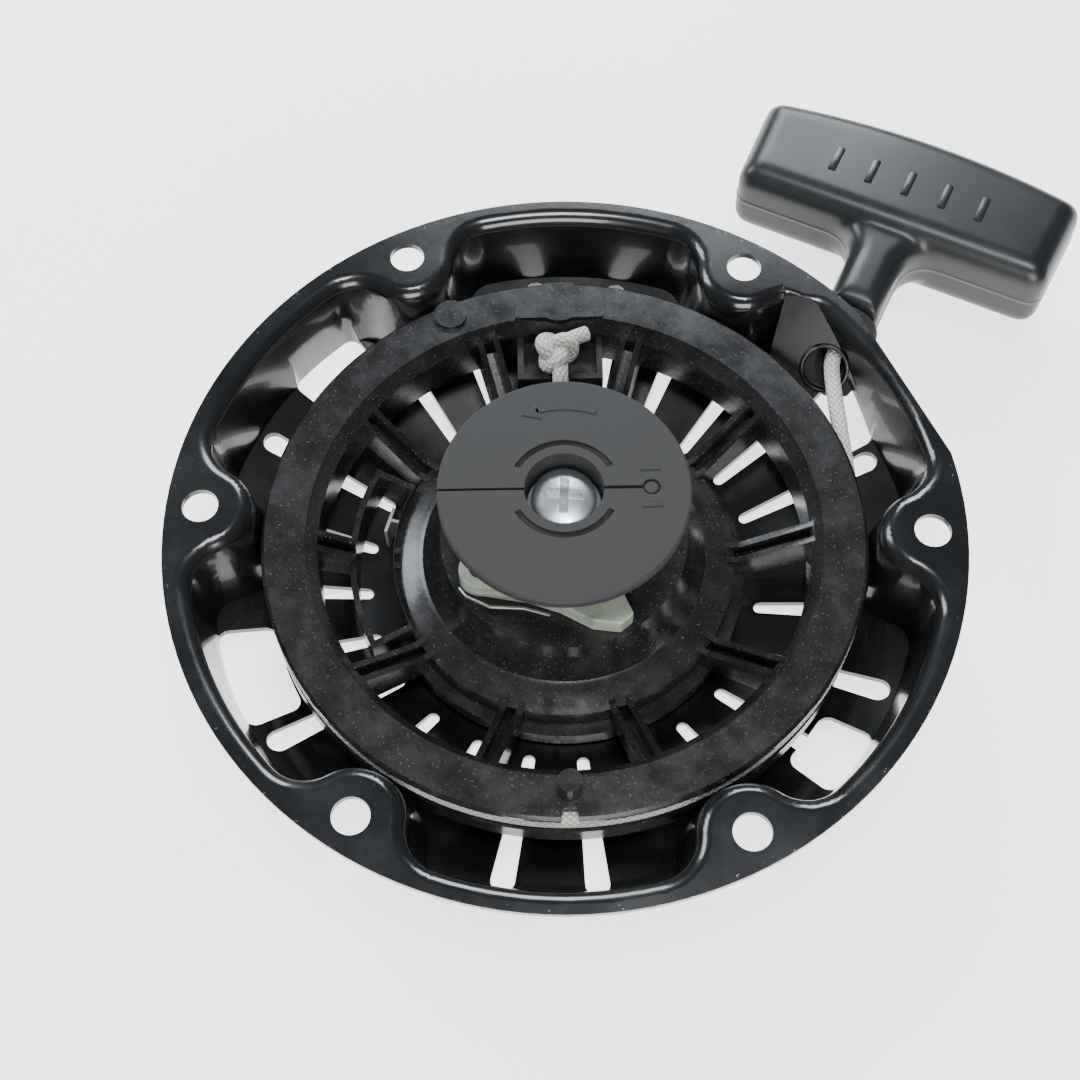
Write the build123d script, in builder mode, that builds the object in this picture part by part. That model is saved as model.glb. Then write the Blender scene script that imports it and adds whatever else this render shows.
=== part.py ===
"""Recoil starter for a small engine: pressed steel housing, rope reel, pawls and pull handle.

Frame: millimetres. The origin is where the reel's axis meets the mounting face of the six ears,
+Z points from there towards the engine and +X runs through one of the bolt holes.
"""

from build123d import *
from math import cos, radians, sin
import os

os.makedirs("parts", exist_ok=True)

# Mounting flange
pcd = 180.0
bolt_count = 6
bolt_hole_r = 4.5
flange_r = 98.5
flange_flat_dist = 95.6
flange_flat_angle = 27.0

# Pressed housing
sheet = 1.8
wall_r = 93.0
wall_draft = 9.0
ear_r = 12.0
ear_flare_r = 11.0
lip_r = 4.0
floor_profile = [(0.0, -34.2), (46.0, -34.2), (52.0, -32.6), (88.0, -22.4), (112.0, -15.6)]
reel_room_r = 77.2

# Cooling slots in the floor
# Radius and half-width at the inner end, then at the outer end with the azimuths from each ear
slot_inner = (51.5, 1.5)
slot_outers = [((85.3, 2.9), (22.5, 37.5)), ((70.0, 2.2), (7.5, 52.5))]
slot_cut_top_z = -20.6
slot_cut_depth = 30.0

# Large corner openings: start azimuth, end azimuth, inner and outer radius
openings = [(132.0, 146.5, 76.0, 91.0), (195.5, 213.5, 75.5, 90.0), (317.5, 329.5, 76.0, 90.0),
            (25.5, 37.0, 79.0, 90.5)]
opening_corner_r = 3.0

# Rope exit: a facet that leans at 45 degrees, with the eyelet in its middle
eyelet_at = (67.2, 54.65, -12.2)
facet_angle = 74.0
facet_lean = 45.0
facet_left = 15.0
facet_right = 30.0
eyelet_hole_r = 6.0

# Pull line: the rope's line from the eyelet out through the handle
pull_at = (68.5, 56.3, -12.0)
pull_angle = 67.0

# Rope
rope_r = 2.1
rope_turn_r = 72.9
rope_inner_turn_r = 68.6
rope_top_z = -10.3
tail_start_z = -15.0
lead_angle = 2.5
outer_turn_arc = 325.0
turn_contact = 1.4

# Reel
reel_phase = 3.3
reel_r = 75.3
reel_top_z = -5.6
flange_t = 2.2
groove_floor_r = 66.3
rim_inner_r = 61.8
low_flange_top_z = -13.6
low_flange_bottom_z = -20.4
hub_r = 43.5
hub_top_z = -20.7
tower_top_z = -8.5
tower_top_r = 31.0
tower_foot_r = 37.2
tower_foot_z = -18.0
reel_bottom_z = -32.0
spoke_count = 10
bearing_r = 8.0
post_spigot_r = 6.0

# Reel details
bay_r = 54.6
bay_wall = 1.6
bay_start = 155.5
bay_span = 56.5
bay_top_z = -18.0
plate_top_z = -4.9
plate_mid_r = 67.8
plate_depth = 8.6
plate_lip_r = 6.6
pocket_w = 23.6
tray_mid_r = 55.4
tray_depth = 15.4
tray_wall = 1.6
tray_top_z = -10.5
tray_wall_h = 3.2
pad_top_z = -5.1
pad_mid_r = 68.3
pad_w = 23.2
pad_depth = 6.6
peg_at_r = 68.2
peg_r = 2.8
peg_h = 6.7
boss_at = (71.2, 117.3)
boss_r = 4.4
boss_h = 1.0

# Return spring
spring_t = 0.8
spring_h = 8.5
spring_bottom_z = -31.2
spring_inner_r = 12.4
spring_outer_r = 37.5
spring_turns = 9
spring_end_angle = 167.5
spring_hook_r = 47.0
spring_hook_half = 3.6

# Ratchet guide and centre screw
guide_r = 30.4
guide_top_z = 14.9
guide_t = 2.5
guide_hub_r = 12.0
guide_well_r = 9.5
guide_seat_z = 6.0
guide_hub_bottom_z = -7.4
lobe_mid_r = 13.6
lobe_len = 10.0
lobe_w = 4.6
lobe_angle = -62.0
arc_slot_r = 12.6
arc_slot_w = 1.5
arc_slot_half = 62.0
split_w = 0.6
pin_slot_w = 0.9
pin_at_r = 20.8
pin_r = 1.8
groove_depth = 1.2
screw_head_r = 7.8
screw_top_z = 12.0

# Pawls
pawl_pivot_r = 24.0
pawl_pivot_angle = -147.0
pawl_bottom_z = -8.3
pawl_top_z = -3.1
pawl_pin_r = 2.5
pawl_boss_r = 5.2
pawl_corner_r = 0.9
# Outline of a pawl's arm and claw: radius and azimuth of each corner
pawl_outline = [(19.4, -152), (15.4, -112), (16.4, -90), (20.6, -66), (23.4, -50), (29.6, -53),
                (30.4, -61), (27.2, -73), (21.9, -91), (21.2, -112), (26.6, -137)]
pawl_wire_r = 0.4
# Wire spring beside a pawl: radius, azimuth and height of each bend
pawl_spring_route = [(29.9, -147, -7.9), (29.9, -141, -7.2), (28.0, -128, -6.0), (24.0, -112, -5.6),
                     (24.0, -96, -5.6)]

# T handle
grip_half = 45.9
grip_near = 40.6
grip_depth = 30.2
grip_crown = 4.6
grip_t = 24.0
stem_start = 14.5
stem_half = 7.3
stem_t = 18.0
stem_root = 8.0
stem_round_r = 5.0
stem_edge = 0.1
grip_throat_r = 9.0
grip_corner_r = 4.0
grip_round_r = 6.0

# Rope ends and guides
rope_split = 6.0
lead_bend_r = 12.0
knot_seat = 58.8
knot_r = 5.6
handle_washer_t = 1.2
knot_recess_r = 7.0
knot_mid_r = 54.0
knot_z = -8.0
tail_turn_r = 45.9
tail_low_z = -17.9
eyelet_lip_t = 1.0
eyelet_bore_r = 5.45
eyelet_lip_r = 6.6
bumper_r = 9.4
bumper_end = 13.9

running_gap = 0.05


def polar(radius, angle, z=0.0):
    """Point at a radius and an azimuth in degrees."""
    return Vector(radius * cos(radians(angle)), radius * sin(radians(angle)), z)


facet_normal = Vector(
    cos(radians(facet_angle)) * cos(radians(facet_lean)),
    sin(radians(facet_angle)) * cos(radians(facet_lean)),
    -sin(radians(facet_lean)),
)
facet_side = Vector(sin(radians(facet_angle)), -cos(radians(facet_angle)), 0)
facet_plane = Plane(origin=eyelet_at, x_dir=facet_side, z_dir=facet_normal)

pull_dir = Vector(cos(radians(pull_angle)), sin(radians(pull_angle)), 0)
pull_side = Vector(sin(radians(pull_angle)), -cos(radians(pull_angle)), 0)
# Sketches for pieces turned about the pull line: X across it, local Y along it
pull_plane = Plane(origin=pull_at, x_dir=pull_side, z_dir=(0, 0, 1))
# Sketches across the pull line
across_pull = Plane(origin=pull_at, x_dir=pull_side, z_dir=pull_dir)


reel_plane = Plane.XY.rotated((0, 0, reel_phase))


def wall_outline(grow):
    """Outline of the cavity with its six inward ears, moved outwards by grow."""
    with BuildSketch(Plane.XY) as outline:
        Circle(wall_r + grow)
        with PolarLocations(pcd / 2, bolt_count):
            Circle(ear_r - grow, mode=Mode.SUBTRACT)
        fillet(outline.vertices(), ear_flare_r + grow)
    return outline.sketch


def housing_fill(grow):
    """Filled pressing: its inside face with grow 0, its outside face with grow equal to the sheet."""
    deep = 45.0
    far = 120.0
    outline = wall_outline(grow)
    with BuildPart() as fill:
        add(outline)
        extrude(amount=-deep, taper=wall_draft)
        with BuildSketch(facet_plane.offset(grow)):
            with Locations(((facet_right - facet_left) / 2, 0)):
                Rectangle(facet_left + facet_right - 2 * grow, 60)
        extrude(amount=60, mode=Mode.SUBTRACT)
        with BuildSketch(Plane.XY):
            Circle(reel_room_r + grow)
        extrude(amount=-deep)
        with BuildSketch(Plane.XZ):
            with BuildLine():
                points = [(x, z - grow * 1.04) for x, z in floor_profile]
                Polyline(*points, (far, -60), (0, -60), close=True)
            make_face()
        revolve(mode=Mode.SUBTRACT)
    return fill.part



# --- Housing -------------------------------------------------------------------------------
inner_fill = housing_fill(0.0)
outer_fill = housing_fill(sheet)


def slot_shape(outer):
    """Outline of one cooling slot along +X, out to the given outer end."""
    with BuildSketch(Plane.XY, mode=Mode.PRIVATE) as outline:
        for end_r, half_width in (slot_inner, outer):
            with Locations((end_r, 0)):
                Circle(half_width)
        make_hull()
    return outline.sketch


slot_shapes = [(slot_shape(outer), angles) for outer, angles in slot_outers]

with BuildPart() as housing_shell:
    add(outer_fill)
    with BuildSketch(Plane.XY):
        Circle(flange_r)
        with Locations(Location(polar(flange_flat_dist + 20, flange_flat_angle), flange_flat_angle)):
            Rectangle(40, 120, mode=Mode.SUBTRACT)
    extrude(amount=-sheet)
    add(inner_fill, mode=Mode.SUBTRACT)
    lip = housing_shell.faces().sort_by(Axis.Z)[-1].inner_wires().sort_by(SortBy.LENGTH)[-1]
    fillet(lip.edges(), lip_r)
    with BuildSketch(Plane.XY.offset(slot_cut_top_z)):
        for shape, angles in slot_shapes:
            for angle in angles:
                with PolarLocations(0, bolt_count, start_angle=angle):
                    add(shape)
    extrude(amount=-slot_cut_depth, mode=Mode.SUBTRACT)
    for start, end, near, far in openings:
        with BuildSketch(Plane.XY.offset(-12)) as opening:
            with BuildLine():
                CenterArc((0, 0), far, start, end - start)
                CenterArc((0, 0), near, start, end - start)
                Line(polar(near, start), polar(far, start))
                Line(polar(near, end), polar(far, end))
            make_face()
            fillet(opening.vertices(), opening_corner_r)
        extrude(amount=-30, mode=Mode.SUBTRACT)
    with PolarLocations(pcd / 2, bolt_count):
        Hole(bolt_hole_r, depth=20)
    with Locations(facet_plane):
        Hole(eyelet_hole_r, depth=12)
    Hole(post_spigot_r, depth=60)
housing_shell.part.label = "housing_shell"
export_step(housing_shell.part, "parts/housing_shell.step")

# --- Centre post, a turned steel stud staked into the middle of the floor --------------------
floor_z = floor_profile[0][1]
post_foot_r = 13.0
post_foot_top_z = floor_z + 1.5
post_neck_r = 6.0
post_thread_r = 3.05
thread_depth = 20.0

with BuildPart() as centre_post:
    with BuildSketch(Plane.XZ):
        with BuildLine():
            Polyline(
                (0, floor_z - sheet), (post_spigot_r, floor_z - sheet), (post_spigot_r, floor_z),
                (post_foot_r, floor_z), (post_foot_r, post_foot_top_z), (bearing_r, post_foot_top_z),
                (bearing_r, tower_top_z + 0.2), (post_neck_r, tower_top_z + 0.2),
                (post_neck_r, guide_seat_z), (0, guide_seat_z), close=True,
            )
        make_face()
    revolve()
    with Locations((0, 0, guide_seat_z)):
        Hole(post_thread_r, depth=thread_depth)
    # Slot that holds the spring's inner end
    with BuildSketch(Plane.XY.offset(post_foot_top_z)):
        with Locations((bearing_r - 1.5, 0)):
            Rectangle(4, 1.4)
    extrude(amount=spring_h + 1.5, mode=Mode.SUBTRACT)
    chamfer(centre_post.edges().group_by(Axis.Z)[-1].sort_by(SortBy.RADIUS)[-1], 0.5)
centre_post.part.label = "centre_post"
export_step(centre_post.part, "parts/centre_post.step")

# --- Return spring, a flat steel strip wound in the reel's underside --------------------------
spring_total_angle = 360 * (spring_turns - 1) + spring_end_angle


def spiral(shift):
    """Points of the spring's coil, moved outwards by shift, one every sixth of a turn or so."""
    count = 6 * spring_turns
    step = spring_total_angle / count
    rise = (spring_outer_r - spring_inner_r) / count
    return [polar(spring_inner_r + shift + rise * i, step * i) for i in range(count + 1)]


with BuildPart() as return_spring:
    with BuildSketch(Plane.XY.offset(spring_bottom_z)):
        with BuildLine():
            inside = Spline(spiral(-spring_t / 2))
            outside = Spline(spiral(spring_t / 2))
            Line(inside @ 0, outside @ 0)
            Line(inside @ 1, outside @ 1)
        make_face()
        # Tongue at the inner end, into the slot in the post
        with Locations(((spring_inner_r + bearing_r) / 2 - 1.0, 0)):
            Rectangle(spring_inner_r - bearing_r + 2.4, spring_t)
        # Hook at the outer end, out through the hub wall into the open bay
        with Locations(Location(polar((spring_outer_r + spring_hook_r) / 2, spring_end_angle), spring_end_angle)):
            Rectangle(spring_hook_r - spring_outer_r + spring_t, spring_t)
        with Locations(Location(polar(spring_hook_r, spring_end_angle), spring_end_angle)):
            Rectangle(spring_t, 2 * spring_hook_half)
    extrude(amount=spring_h)
return_spring.part.label = "return_spring"
export_step(return_spring.part, "parts/return_spring.step")

# --- Reel, one glass-filled nylon moulding ---------------------------------------------------
rim_slope_z = -9.6
hub_floor_t = 2.2
tower_t = 2.4
tube_r = 11.2
spring_room_r = 40.2
spring_roof_z = -21.4
hub_skirt_z = -27.0
hub_skirt_r = 46.6
rib_t = 1.6
rib_spread = 2.1
rib_foot_z = -28.5

tail_from = polar(rope_inner_turn_r - rope_r - 1.2, 90 + reel_phase, tail_start_z)
tail_turn = polar(tail_turn_r, 90 + reel_phase, tail_low_z)

with BuildPart() as reel:
    # Hub, tower and bearing tube
    with BuildSketch(Plane.XZ):
        with BuildLine():
            Polyline(
                (bearing_r + running_gap, spring_roof_z), (tube_r, spring_roof_z),
                (tube_r, tower_top_z - tower_t), (tower_top_r - 3.0, tower_top_z - tower_t),
                (tower_top_r - 2.2, tower_top_z - tower_t - 1.5), (tower_foot_r - 2.6, tower_foot_z - 1.0),
                (spring_room_r, spring_roof_z), (spring_room_r, reel_bottom_z),
                (hub_skirt_r, reel_bottom_z), (hub_skirt_r, hub_skirt_z), (hub_r, hub_skirt_z),
                (hub_r, hub_top_z), (tower_foot_r + 1.6, tower_foot_z - 1.0),
                (tower_foot_r, tower_foot_z), (tower_foot_r - 1.2, tower_foot_z + 0.4),
                (tower_top_r + 1.0, tower_top_z - 3.0), (tower_top_r, tower_top_z),
                (bearing_r + running_gap, tower_top_z), close=True,
            )
        make_face()
    revolve()
    # Rim with the rope groove
    with BuildSketch(Plane.XZ):
        with BuildLine():
            Polyline(
                (rim_inner_r, rim_slope_z), (rim_inner_r + 2.6, reel_top_z), (reel_r - 0.8, reel_top_z),
                (reel_r, reel_top_z - 0.8), (reel_r, reel_top_z - flange_t + 0.5),
                (reel_r - 0.5, reel_top_z - flange_t), (groove_floor_r, reel_top_z - flange_t - 0.2),
                (groove_floor_r, low_flange_top_z), (reel_r - 0.5, low_flange_top_z),
                (reel_r, low_flange_top_z - 0.5), (reel_r, low_flange_bottom_z + 0.6),
                (reel_r - 0.6, low_flange_bottom_z), (rim_inner_r, low_flange_bottom_z), close=True,
            )
        make_face()
    revolve()
    # Double-rib spokes with a web between the ribs
    spoke_from = hub_r - 2.0
    spoke_to = rim_inner_r + 1.0
    for k in range(spoke_count):
        angle = reel_phase + 360.0 / spoke_count * k
        radial = Plane.XZ.rotated((0, 0, angle))
        for side in (-1, 1):
            with BuildSketch(radial.offset(side * rib_spread)):
                with BuildLine():
                    Polyline(
                        (spoke_from, hub_top_z + 1.0), (hub_r + 1.5, hub_top_z + 1.0),
                        (spoke_to, rim_slope_z + 1.2), (spoke_to, low_flange_bottom_z + 0.5),
                        (spoke_from, rib_foot_z), close=True,
                    )
                make_face()
            extrude(amount=rib_t / 2, both=True)
        with BuildSketch(radial):
            with BuildLine():
                Polyline(
                    (spoke_from, hub_top_z - 4.0), (spoke_to, rim_slope_z - 4.5),
                    (spoke_to, rim_slope_z - 6.5), (spoke_from, hub_top_z - 6.0), close=True,
                )
            make_face()
        extrude(amount=rib_spread, both=True)
    # Ribs under the tower's top that hold the spring down
    with PolarLocations(0, 5, start_angle=reel_phase + 18):
        with Locations((0, 0, (tower_top_z - tower_t + spring_roof_z) / 2)):
            Box(
                tower_foot_r - 4.0, 1.8, tower_top_z - tower_t - spring_roof_z + 0.4,
                align=(Align.MIN, Align.CENTER, Align.CENTER),
            )
    # Open bay beside the hub for the spring's outer hook, with its curved wall
    with BuildSketch(Plane.XY.offset(bay_top_z)) as bay_floor:
        with BuildLine():
            CenterArc((0, 0), bay_r, bay_start, bay_span)
            CenterArc((0, 0), hub_r - 0.2, bay_start, bay_span)
            Line(polar(hub_r - 0.2, bay_start), polar(bay_r, bay_start))
            Line(polar(hub_r - 0.2, bay_start + bay_span), polar(bay_r, bay_start + bay_span))
        make_face()
    extrude(amount=-(bay_top_z - rib_foot_z))
    with BuildSketch(Plane.XY.offset(bay_top_z + 20)) as bay_room:
        with BuildLine():
            CenterArc((0, 0), bay_r - bay_wall, bay_start + 2, bay_span - 4)
            CenterArc((0, 0), hub_r, bay_start + 2, bay_span - 4)
            Line(polar(hub_r, bay_start + 2), polar(bay_r - bay_wall, bay_start + 2))
            Line(polar(hub_r, bay_start + bay_span - 2), polar(bay_r - bay_wall, bay_start + bay_span - 2))
        make_face()
    extrude(amount=-60, mode=Mode.SUBTRACT)
    # Clear the bearing and the spring room of spoke and rib ends
    with BuildSketch(Plane.XY.offset(reel_bottom_z)):
        Circle(bearing_r + running_gap)
    extrude(amount=60, mode=Mode.SUBTRACT)
    with BuildSketch(Plane.XY.offset(reel_bottom_z)):
        Circle(spring_room_r)
    extrude(amount=spring_roof_z - reel_bottom_z, mode=Mode.SUBTRACT)
    # Slot through the hub wall for the spring's outer hook
    with BuildSketch(Plane.XY.offset(spring_bottom_z - 0.5)):
        with Locations(Location(polar(hub_r, spring_end_angle), spring_end_angle)):
            Rectangle(10, 3)
    extrude(amount=spring_h + 1.0, mode=Mode.SUBTRACT)
    # Knot pocket: a plate on the rim and a tray inside it
    with BuildSketch(reel_plane.offset(plate_top_z)):
        with Locations((0, plate_mid_r)):
            RectangleRounded(pocket_w, plate_depth, 0.8)
        with Locations((0, plate_mid_r + plate_depth / 2 - 3.0)):
            Circle(plate_lip_r)
        Circle(reel_r - 0.4, mode=Mode.INTERSECT)
    extrude(amount=-(plate_top_z - reel_top_z + 1.0))
    with BuildSketch(reel_plane.offset(tray_top_z)):
        with Locations((0, tray_mid_r)):
            Rectangle(pocket_w - 1.0, tray_depth)
            Rectangle(pocket_w - 1.0 - 2 * tray_wall, tray_depth - 2 * tray_wall, mode=Mode.SUBTRACT)
        with Locations((0, tray_mid_r - tray_depth / 2)):
            Rectangle(2 * rope_r + 1.0, 3 * tray_wall, mode=Mode.SUBTRACT)
    extrude(amount=-tray_wall_h)
    with BuildSketch(reel_plane.offset(tray_top_z - tray_wall_h)):
        with Locations((0, tray_mid_r)):
            Rectangle(pocket_w - 1.0, tray_depth)
        with Locations((0, tray_mid_r - tray_depth / 2)):
            Rectangle(2 * rope_r + 1.0, 2.0, mode=Mode.SUBTRACT)
    extrude(amount=-tray_wall)
    # Way for the rope from the groove, under the tray, to the tray's open side
    with BuildSketch(Plane(origin=tail_from, z_dir=tail_from - tail_turn)):
        Circle(rope_r + 0.3)
    extrude(amount=3, mode=Mode.SUBTRACT)
    with BuildSketch(Plane(origin=tail_from, z_dir=tail_turn - tail_from)):
        Circle(rope_r + 0.3)
    extrude(amount=(tail_turn - tail_from).length + rope_r, mode=Mode.SUBTRACT)
    # Stop pad and peg on the far side of the rim, with a notch in the flange beside them
    with BuildSketch(reel_plane.offset(pad_top_z)):
        with Locations((0, -pad_mid_r)):
            RectangleRounded(pad_w, pad_depth, 0.9)
    extrude(amount=-(pad_top_z - reel_top_z + 0.5))
    with BuildSketch(reel_plane.offset(pad_top_z)):
        with Locations((0, -peg_at_r)):
            Circle(peg_r)
    extrude(amount=peg_h)
    with BuildSketch(reel_plane.offset(reel_top_z + 5)):
        with BuildLine():
            Polyline((-2.6, -reel_r - 2), (-1.5, -reel_r + 3.2), (1.5, -reel_r + 3.2), (2.6, -reel_r - 2),
                     close=True)
        make_face()
    extrude(amount=-(5 + flange_t + 0.4), mode=Mode.SUBTRACT)
    # Round boss on the rim
    with BuildSketch(Plane.XY.offset(reel_top_z + boss_h)):
        with Locations(polar(boss_at[0], boss_at[1])):
            Circle(boss_r)
    extrude(amount=-(boss_h + 1.0))
    # Moulded pivot posts for the two pawls
    with BuildSketch(Plane.XY.offset(pawl_top_z + 0.6)):
        for turn in (0, 180):
            with Locations(polar(pawl_pivot_r, pawl_pivot_angle + turn)):
                Circle(pawl_pin_r)
    extrude(amount=-(pawl_top_z + 0.6 - tower_top_z + 0.5))
reel.part.label = "reel"
export_step(reel.part, "parts/reel.step")

# --- Thrust washer between the reel's tower and the guide ------------------------------------
washer_gap = 0.05
thrust_t = 1.0
with BuildPart() as thrust_washer:
    with BuildSketch(Plane.XY.offset(tower_top_z + 0.2 + washer_gap)):
        Circle(10.6)
        Circle(post_neck_r + 0.1, mode=Mode.SUBTRACT)
    extrude(amount=thrust_t)
    chamfer(thrust_washer.edges().filter_by(GeomType.CIRCLE), 0.15)
thrust_washer.part.label = "thrust_washer"
export_step(thrust_washer.part, "parts/thrust_washer.step")

# --- Friction spring, a short coil round the post under the guide ----------------------------
friction_mean_r = 7.7
friction_wire_r = 0.6
friction_bottom_z = tower_top_z + 0.2 + washer_gap + thrust_t + friction_wire_r + 0.02
friction_turn_count = 4
friction_rise = 2.3
with BuildPart() as friction_spring:
    friction_path = Helix(
        pitch=friction_rise, height=friction_rise * friction_turn_count, radius=friction_mean_r,
        center=(0, 0, friction_bottom_z),
    )
    with BuildSketch(Plane(origin=friction_path @ 0, z_dir=friction_path % 0)):
        Circle(friction_wire_r)
    sweep(path=friction_path)
friction_spring.part.label = "friction_spring"
export_step(friction_spring.part, "parts/friction_spring.step")

# --- Ratchet guide, a nylon disc with a deep hub and two cam lobes ---------------------------
guide_bottom_z = guide_top_z - guide_t
spring_bore_r = 8.8
spring_bore_top_z = friction_bottom_z + friction_rise * friction_turn_count + friction_wire_r + 0.05
lobe_h = 4.4
with BuildPart() as ratchet_guide:
    with BuildSketch(Plane.XZ):
        with BuildLine():
            Polyline(
                (spring_bore_r, guide_hub_bottom_z + 0.9), (guide_hub_r, guide_hub_bottom_z + 0.9),
                (guide_hub_r + 1.0, guide_bottom_z - 3.0), (guide_hub_r + 3.0, guide_bottom_z),
                (guide_r, guide_bottom_z), (guide_r, guide_top_z - 0.5), (guide_r - 0.5, guide_top_z),
                (guide_well_r, guide_top_z), (guide_well_r, guide_seat_z - 0.05),
                (post_neck_r + 0.1, guide_seat_z - 0.05), (post_neck_r + 0.1, spring_bore_top_z),
                (spring_bore_r, spring_bore_top_z), close=True,
            )
        make_face()
    revolve()
    # Cam lobes that push the pawls out
    with BuildSketch(Plane.XY.offset(guide_hub_bottom_z + 0.9)):
        for turn in (0, 180):
            with Locations(Location(polar(lobe_mid_r, lobe_angle + turn), lobe_angle + turn)):
                RectangleRounded(lobe_len, lobe_w, 1.8)
        Circle(spring_bore_r + 0.5, mode=Mode.SUBTRACT)
    extrude(amount=lobe_h)
    # Arc slots round the well, the split to the edge and the slot to the pin
    for mid in (90, 270):
        with BuildSketch(Plane.XY.offset(guide_top_z)) as arc_slot:
            with BuildLine():
                from_angle = reel_phase + mid - arc_slot_half
                CenterArc((0, 0), arc_slot_r + arc_slot_w / 2, from_angle, 2 * arc_slot_half)
                CenterArc((0, 0), arc_slot_r - arc_slot_w / 2, from_angle, 2 * arc_slot_half)
                for angle in (from_angle, from_angle + 2 * arc_slot_half):
                    Line(polar(arc_slot_r - arc_slot_w / 2, angle), polar(arc_slot_r + arc_slot_w / 2, angle))
            make_face()
        extrude(amount=-groove_depth, mode=Mode.SUBTRACT)
    with BuildSketch(Plane.XY.offset(guide_top_z)):
        with Locations(Location(polar((guide_r + guide_well_r) / 2, 180 + reel_phase), reel_phase)):
            Rectangle(guide_r - guide_well_r + 2.0, split_w)
    extrude(amount=-groove_depth, mode=Mode.SUBTRACT)
    with BuildSketch(Plane.XY.offset(guide_top_z)):
        with Locations(Location(polar((pin_at_r + guide_well_r) / 2, reel_phase), reel_phase)):
            Rectangle(pin_at_r - guide_well_r + 1.0, pin_slot_w)
    extrude(amount=-groove_depth, mode=Mode.SUBTRACT)
    with BuildSketch(Plane.XY.offset(guide_top_z)):
        with Locations(polar(pin_at_r, reel_phase)):
            Circle(pin_r + 0.35)
    extrude(amount=-groove_depth, mode=Mode.SUBTRACT)
    with BuildSketch(Plane.XY.offset(guide_top_z)):
        with Locations(polar(pin_at_r, reel_phase)):
            Circle(pin_r)
    extrude(amount=-guide_t - 1, mode=Mode.SUBTRACT)
ratchet_guide.part.label = "ratchet_guide"
export_step(ratchet_guide.part, "parts/ratchet_guide.step")

# --- Small pin pressed in the guide ----------------------------------------------------------
with BuildPart() as guide_pin:
    with BuildSketch(Plane.XY.offset(guide_top_z - 0.3)):
        with Locations(polar(pin_at_r, reel_phase)):
            Circle(pin_r)
    extrude(amount=-(guide_t + 1.2))
    chamfer(guide_pin.edges().group_by(Axis.Z)[-1], 0.3)
guide_pin.part.label = "guide_pin"
export_step(guide_pin.part, "parts/guide_pin.step")

# --- Washer and pan-head screw that hold the guide -------------------------------------------
screw_washer_t = 1.2
screw_seat_z = guide_seat_z + screw_washer_t
with BuildPart() as screw_washer:
    with BuildSketch(Plane.XY.offset(guide_seat_z)):
        Circle(guide_well_r - 0.4)
        Circle(3.2, mode=Mode.SUBTRACT)
    extrude(amount=screw_washer_t)
    chamfer(screw_washer.edges().filter_by(GeomType.CIRCLE), 0.2)
screw_washer.part.label = "screw_washer"
export_step(screw_washer.part, "parts/screw_washer.step")

screw_crown = 1.4
screw_crown_r = (screw_head_r ** 2 + screw_crown ** 2) / (2 * screw_crown)
cross_w = 2.1
cross_len = 8.4
cross_depth = 2.4
with BuildPart() as centre_screw:
    with BuildSketch(Plane.XZ):
        with BuildLine():
            Polyline((0, screw_top_z), (0, screw_seat_z - 14), (2.4, screw_seat_z - 14),
                     (3.0, screw_seat_z - 13.4), (3.0, screw_seat_z), (screw_head_r, screw_seat_z),
                     (screw_head_r, screw_top_z - screw_crown))
            RadiusArc((screw_head_r, screw_top_z - screw_crown), (0, screw_top_z), -screw_crown_r)
        make_face()
    revolve()
    with BuildSketch(Plane.XY.offset(screw_top_z + 0.5)):
        Rectangle(cross_len, cross_w)
        Rectangle(cross_w, cross_len)
    extrude(amount=-cross_depth - 0.5, mode=Mode.SUBTRACT)
centre_screw.part.label = "centre_screw"
export_step(centre_screw.part, "parts/centre_screw.step")

# --- Two pawls and their wire springs --------------------------------------------------------
pivot = polar(pawl_pivot_r, pawl_pivot_angle)
for name, turn in (("pawl_a", 0), ("pawl_b", 180)):
    with BuildPart() as pawl:
        with BuildSketch(Plane.XY.offset(pawl_bottom_z)) as pawl_shape:
            with BuildLine():
                Polyline(*[polar(radius, angle) for radius, angle in pawl_outline], close=True)
            make_face()
            fillet(pawl_shape.vertices().sort_by_distance(pivot)[-7:], pawl_corner_r)
            with Locations(pivot):
                Circle(pawl_boss_r)
        extrude(amount=pawl_top_z - pawl_bottom_z)
        chamfer(pawl.edges().group_by(Axis.Z)[-1], 0.3)
        with BuildSketch(Plane.XY.offset(pawl_bottom_z)):
            with Locations(pivot):
                Circle(pawl_pin_r + running_gap)
        extrude(amount=10, mode=Mode.SUBTRACT)
    piece = pawl.part.rotate(Axis.Z, turn)
    piece.label = name
    export_step(piece, f"parts/{name}.step")

for name, turn in (("pawl_spring_a", 0), ("pawl_spring_b", 180)):
    with BuildPart() as pawl_spring:
        with BuildLine() as wire_line:
            FilletPolyline(*[polar(radius, angle, z) for radius, angle, z in pawl_spring_route],
                           radius=1.2)
        with BuildSketch(Plane(origin=wire_line.line @ 0, z_dir=wire_line.line % 0)):
            Circle(pawl_wire_r)
        sweep(path=wire_line.line, transition=Transition.RIGHT)
    piece = pawl_spring.part.rotate(Axis.Z, turn)
    piece.label = name
    export_step(piece, f"parts/{name}.step")

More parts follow.
